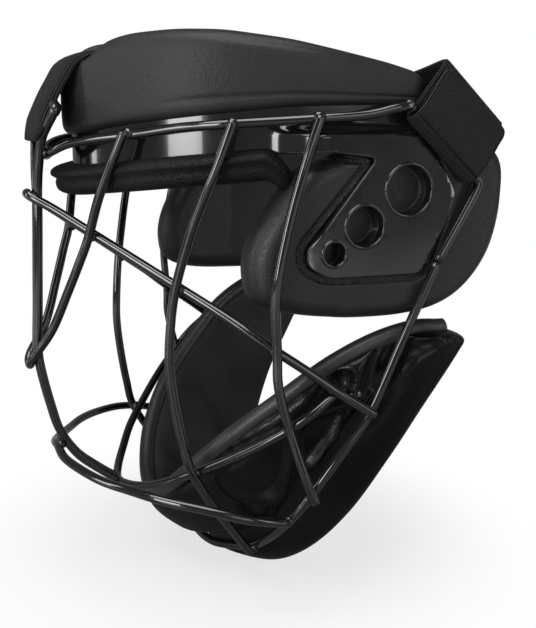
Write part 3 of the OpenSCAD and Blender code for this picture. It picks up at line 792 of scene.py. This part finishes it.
def jaw_half(u, w, side):
    """The cover, on side 1, or the lining, on side -1: a domed face and the flat face between the two."""
    front, rear, away = jaw_frame(u)
    across = front - rear
    end = max(round_end(u, jaw_length, jaw_round), 0.05)
    if w <= dome_share:
        a = w / dome_share * math.pi
        x = math.copysign(abs(math.cos(a)) ** 0.7, math.cos(a))
        lift = jaw_t / 2 * abs(math.sin(a)) ** 0.6
    else:
        x, lift = -1 + (w - dome_share) / (1 - dome_share) * 2, 0.0
    spot = (front + rear) / 2 + across / 2 * x * (0.8 + 0.2 * end) + away * side * (fit_gap / 2 + lift * end)
    if side > 0 and lift > 0:
        gap = wires_near.find(spot)[2]
        spot -= away * dent_depth * (1 - ease(2.2, dent_reach, gap))
        spot += away * jaw_relief(u, (1 - x) / 2) * end
        spot.z = max(spot.z, 0.0)
    elif lift > 0:
        sag = math.sin(u * 58 + 3 * noise.noise(Vector((u * 9, x * 0.7, 4.1))))
        sag += noise.noise(Vector((u * 26, x, 8.2)))
        spot += away * side * lining_fold * sag * end * (1 - x * x)
    return spot


jaw_vinyl = grained("jaw_vinyl", (0.0015, 0.0015, 0.0016), (0.004, 0.004, 0.0042), 0.2, 0.32, 1200.0, 0.00006,
                    Specular_IOR_Level=0.25)
piece = new_piece("jaw_pad_cover", closed_skin(360, 96, lambda u, w: jaw_half(u, w, 1)), jaw_vinyl)
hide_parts("jaw_pad")

weave, weave_in, weave_out = effect(
    "cloth_weave", [("Vector", "Vector", None), ("Threads", "Float", 400.0)], [("Height", "Float")])
checks = node(weave, "TexVoronoi", {"feature": "F1", "distance": "CHEBYCHEV"},
              Vector=weave_in.outputs["Vector"], Scale=weave_in.outputs["Threads"], Randomness=0.25)
weave.links.new(checks.outputs["Distance"], weave_out.inputs["Height"])
jaw_cloth, tree, shader, place = finish("jaw_lining_cloth", (0.018, 0.018, 0.0183), (0.032, 0.032, 0.0325),
                                        0.5, 0.65, 30.0, Specular_IOR_Level=0.2)
threads = node(tree, "Group", {"node_tree": weave}, Vector=place, Threads=900.0)
relief(tree, shader, threads.outputs["Height"], 0.0002)
piece = new_piece("jaw_pad_lining", closed_skin(200, 48, lambda u, w: jaw_half(u, w, -1)), jaw_cloth)
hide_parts("jaw_liner")

roll_path = [front + (rear - front).normalized() * roll_d / 2 for front, rear in zip(front_edge, rear_edge)]
# The rolled edge's leather is much lighter than the vinyl cover: partly its own tone, partly a painted
# highlight along the roll.
roll_leather_painted_highlight = grained("jaw_edge_leather_painted_highlight", (0.022, 0.022, 0.0225), (0.034, 0.034, 0.0345), 0.32, 0.44, 900.0,
                       0.0001, Specular_IOR_Level=0.5)
piece = new_piece("jaw_pad_rolled_edge", tube(roll_path, roll_d / 2), roll_leather_painted_highlight)
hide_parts("jaw_pad_roll")


# Harness: flat elastic webbing, ribbed along its length. The back strap goes round the frame wire at
# each temple, and its folded ends are held down by hook tape. The front strap goes round the crossbar.
strap_t, strap_w, front_w, tab_w, strap_end_l = 2.4, 40.0, 34.0, 26.0, 25.0
strap_off = wire_r + fit_gap + strap_t / 2
corner_up = Vector((1, 0, 0)).cross(corner_dir)
ribs_across = 66
# Each flat face takes this share of the way round a strap's section, and the round edges the rest
flat_share = 0.455


def band_surface(path, width, across, corner=4.0, start_round=False, end_round=False):
    """A strap along a path: a flat section with round edges, its loose ends with rounded corners."""
    place, length = along(path)

    def surface(u, w):
        u -= 0.97 * math.sin(math.tau * u) / math.tau
        p, way = place(u)
        side = across.normalized()
        out = side.cross(way).normalized()
        half, s = width / 2, u * length
        for is_round, left in ((start_round, s), (end_round, length - s)):
            if is_round and left < corner:
                half -= corner - math.sqrt(max(corner ** 2 - (corner - left) ** 2, 0))
        tip = 1 - min(min(s, length - s) / (strap_t / 2), 1)
        thick = strap_t / 2 * math.sqrt(max(1 - tip * tip, 0.003))
        # Round the section: one face, one edge, the other face, the other edge
        turn, face = (1, w) if w < 0.5 else (-1, w - 0.5)
        if face < flat_share:
            x, z = turn * (2 * face / flat_share - 1) * (half - thick), turn * thick
        else:
            a = (face - flat_share) / (0.5 - flat_share) * math.pi
            x, z = turn * (half - thick + thick * math.sin(a)), turn * thick * math.cos(a)
        return p + side * x + out * z
    return surface, length


elastic, tree, shader, place = finish("black_elastic", (0.005, 0.005, 0.0052), (0.01, 0.01, 0.0104), 0.7,
                                      0.85, 30.0, Specular_IOR_Level=0.25, Sheen_Weight=0.05,
                                      Sheen_Roughness=0.4)
split = node(tree, "SeparateXYZ", Vector=node(tree, "TexCoord").outputs["UV"])
ribs = node(tree, "Math", {"operation": "MULTIPLY"}, _0=split.outputs["Y"], _1=math.tau * ribs_across)
rib_wave = node(tree, "Math", {"operation": "SINE"}, _0=ribs.outputs[0])
relief(tree, shader, rib_wave.outputs[0], 0.0006)


def strap(name, body, path, width, across, replaced, **ends):
    """A strap of black elastic along a path, and the part that it stands for."""
    surface, length = band_surface(path, width, across, **ends)
    bm = closed_skin(max(int(length / 1.6), 24), 56, surface)
    piece = new_piece(name, bm, elastic, body)
    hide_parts(replaced)
    return piece


def corner_place(q):
    """A place in the plane of the temple strap: out to the side, and up and back from the wire."""
    return Vector((q.x, corner_mid.y, corner_mid.z)) + corner_up * q.y


inner_x, hinge_x, back_sag = half_w - strap_off, half_w + strap_off, 11.0
# The strap comes round the wire from the first angle to the second
wrap_start, wrap_end = -165, -19.0
back_half = through(points((0, strap_end_l - back_sag, 0), (half_w * 0.35, strap_end_l - back_sag * 0.85, 0),
                           (half_w * 0.7, strap_end_l - back_sag * 0.3, 0), (inner_x - 7, strap_end_l + 2, 0),
                           (inner_x - 3, strap_end_l, 0), (inner_x - 1.2, strap_end_l * 0.55, 0),
                           (inner_x, 5, 0), (inner_x, 0, 0)), 8)
angles = [wrap_start + 6 * i for i in range(int((wrap_end - wrap_start) / 6) + 1)] + [wrap_end]
wrap = [Vector((half_w + strap_off * math.cos(math.radians(a)), strap_off * math.sin(math.radians(a)), 0))
        for a in angles]
back_path = [corner_place(q) for q in both_sides(back_half + wrap)]
strap("back_strap_webbing", "cage", back_path, strap_w, corner_dir, "back_strap")

# The lower edge of a strap end is round about the line on which it turns
end_keys = points((hinge_x, -strap_t / 2, 0), (hinge_x, 0, 0), (hinge_x, 3, 0),
                  (hinge_x - 1, strap_end_l * 0.35, 0), (hinge_x - 3.4, strap_end_l * 0.7, 0),
                  (hinge_x - 4.4, strap_end_l - 1, 0))
for side, end in two_sides:
    route = mirrored([corner_place(q) for q in through(end_keys, 8)], side)
    strap(f"strap_end_{end}_webbing", f"strap_end_{end}", route, strap_w, corner_dir * side,
          f"strap_end_{end}", end_round=True)

hook_tape, tree, shader, place = finish("hook_tape", (0.006, 0.006, 0.0065), (0.014, 0.014, 0.015), 0.85,
                                        0.95, 60.0, Specular_IOR_Level=0.2, Sheen_Weight=0.1)
loops_bump = node(tree, "TexVoronoi", Vector=place, Scale=1600.0)
relief(tree, shader, loops_bump.outputs["Distance"], 0.0004)
patch_t, patch_start = 1.0, 9
patch_line = through(end_keys, 3)
for side, end in two_sides:
    patch = []
    for i in range(patch_start, len(patch_line) - 1):
        step = (patch_line[i + 1] - patch_line[i - 1]).normalized()
        patch.append(corner_place(patch_line[i] + Vector((-step.y, step.x, 0)) * (strap_t + patch_t) / 2))
    patch_at, _ = along(mirrored(patch, side))

    def patch_surface(u, w):
        p, way = patch_at(u)
        a = w * math.tau
        x = math.copysign(abs(math.cos(a)) ** 0.12, math.cos(a))
        z = math.copysign(abs(math.sin(a)) ** 0.5, math.sin(a))
        out = corner_dir.cross(way).normalized()
        return p + corner_dir * (x * (strap_w / 2 - 1)) + out * (z * patch_t / 2)
    piece = new_piece(f"hook_patch_{end}_tape", closed_skin(10, 32, patch_surface), hook_tape,
                      f"strap_end_{end}")
    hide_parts(f"hook_patch_{end}")


def on_back(drop, s):
    """A place inside the back strap, this far in from it and this far along its width."""
    return Vector((0, corner_mid.y, corner_mid.z)) + corner_dir * s \
        + corner_up * (strap_end_l - back_sag - strap_t - fit_gap - drop)


front_keys = strap_course + [on_back(*q) for q in ((12.3, -29), (4.8, -22.5), (1.3, -15), (0.2, -7), (0, 2),
                                                   (0, 14))]
piece = strap("front_strap_webbing", "cage", through(front_keys, 8), front_w, Vector((-1, 0, 0)),
              "front_strap", start_round=True, corner=6.0)
# Its edges bend back round the front of the pad
edge_back = 4.5
for v in piece.data.vertices:
    spot = v.co / mm
    v.co.y += edge_back * mm * (2 * spot.x / front_w) ** 4 * ease(200, 214, spot.z) * ease(-50, -65, spot.y)
tab_keys = points((0, -87.4, 213)) + [
    Vector((0, -82 + strap_off * math.cos(math.radians(a)), 217 + strap_off * math.sin(math.radians(a))))
    for a in range(-90, 61, 30)] + points((0, -81.8, 225.5))
surface, _ = band_surface(through(tab_keys, 6), tab_w, Vector((-1, 0, 0)))
piece = new_piece("front_strap_tab", closed_skin(24, 40, surface), elastic)


# Studio: a white floor that fades into the white background, soft lights overhead and at the side,
# and tall ones at the front and the back, which draw the thin bright lines along the wires.
glossy_share, floor_white = 0.06, 0.93


def sees_white(tree, rays):
    """How far a ray sees the plain white behind the mask: fully from the camera, a little from gloss."""
    glossy = node(tree, "Math", {"operation": "MULTIPLY"}, _0=rays.outputs["Is Glossy Ray"], _1=glossy_share)
    seen = node(tree, "Math", {"operation": "ADD"}, _0=rays.outputs["Is Camera Ray"], _1=glossy.outputs[0])
    seen = node(tree, "Math", {"operation": "ADD", "use_clamp": True}, _0=seen.outputs[0],
                _1=rays.outputs["Is Transmission Ray"])
    return seen.outputs[0]


floor = bmesh.new()
bmesh.ops.create_grid(floor, x_segments=1, y_segments=1, size=3.0)
floor_mesh = bpy.data.meshes.new("floor")
floor.to_mesh(floor_mesh)
floor.free()
floor_piece = bpy.data.objects.new("floor", floor_mesh)
bpy.context.scene.collection.objects.link(floor_piece)
pale = bpy.data.materials.new("white_floor")
pale.use_nodes = True
tree = pale.node_tree
shader = tree.nodes["Principled BSDF"]
shader.inputs["Roughness"].default_value = 0.3
reach = node(tree, "VectorMath", {"operation": "LENGTH"}, _0=node(tree, "TexCoord").outputs["Object"])
away = node(tree, "MapRange", {"interpolation_type": "SMOOTHSTEP"}, Value=reach.outputs["Value"],
            From_Min=0.06, From_Max=0.17, To_Min=0.7)
rays = node(tree, "LightPath")
# The photograph's gloss shows no white floor close below, so rays from gloss see it dark there
below = node(tree, "MapRange", Value=reach.outputs["Value"], From_Min=0.3, From_Max=0.8, To_Min=0.15,
             To_Max=floor_white)
floor_shade = node(tree, "MapRange", Value=rays.outputs["Is Glossy Ray"], To_Min=floor_white,
                   To_Max=below.outputs["Result"])
tree.links.new(floor_shade.outputs["Result"], shader.inputs["Base Color"])
fade = node(tree, "Math", {"operation": "MULTIPLY"}, _0=away.outputs["Result"], _1=sees_white(tree, rays))
white = node(tree, "Emission", Color=(1, 1, 1, 1), Strength=1.0)
both = node(tree, "MixShader", _0=fade.outputs[0], _1=shader.outputs[0], _2=white.outputs[0])
tree.links.new(both.outputs[0], tree.nodes["Material Output"].inputs["Surface"])
floor_mesh.materials.append(pale)


def soft_light(name, place, target, width, height, brightness):
    """A soft box of a size in metres; its face shows this many times as bright as white."""
    lamp = bpy.data.lights.new(name, "AREA")
    lamp.shape = "RECTANGLE"
    lamp.size, lamp.size_y = width, height
    lamp.energy = brightness * math.pi * width * height
    light = bpy.data.objects.new(name, lamp)
    way = (Vector(target) - Vector(place)).to_track_quat("-Z", "Y").to_matrix().to_4x4()
    light.matrix_world = Matrix.Translation(place) @ way
    bpy.context.scene.collection.objects.link(light)


aim = (0, 0, 0.12)
soft_light("overhead", (0.25, -0.3, 1.15), aim, 0.85, 0.85, 4.2)
soft_light("front_strip", (-0.2, -1.2, 0.5), aim, 0.15, 0.8, 6.5)
soft_light("key", (0.62, -1.08, 0.4), aim, 0.36, 0.6, 8.5)
soft_light("back_strip", (0.95, 0.9, 0.5), aim, 0.2, 0.9, 3.0)
soft_light("side_panel", (1.25, 0.05, 0.55), aim, 0.7, 0.6, 1.6)
world = bpy.data.worlds.new("studio")
bpy.context.scene.world = world
world.use_nodes = True
tree = world.node_tree
tree.nodes.clear()
seen = sees_white(tree, node(tree, "LightPath"))
dim = node(tree, "Background", Color=(1, 1, 1, 1), Strength=0.12)
bright = node(tree, "Background", Color=(1, 1, 1, 1), Strength=1.0)
shown = node(tree, "MixShader", _0=seen, _1=dim.outputs[0], _2=bright.outputs[0])
output = node(tree, "OutputWorld")
tree.links.new(shown.outputs[0], output.inputs["Surface"])
bpy.context.scene.view_settings.view_transform = "Standard"
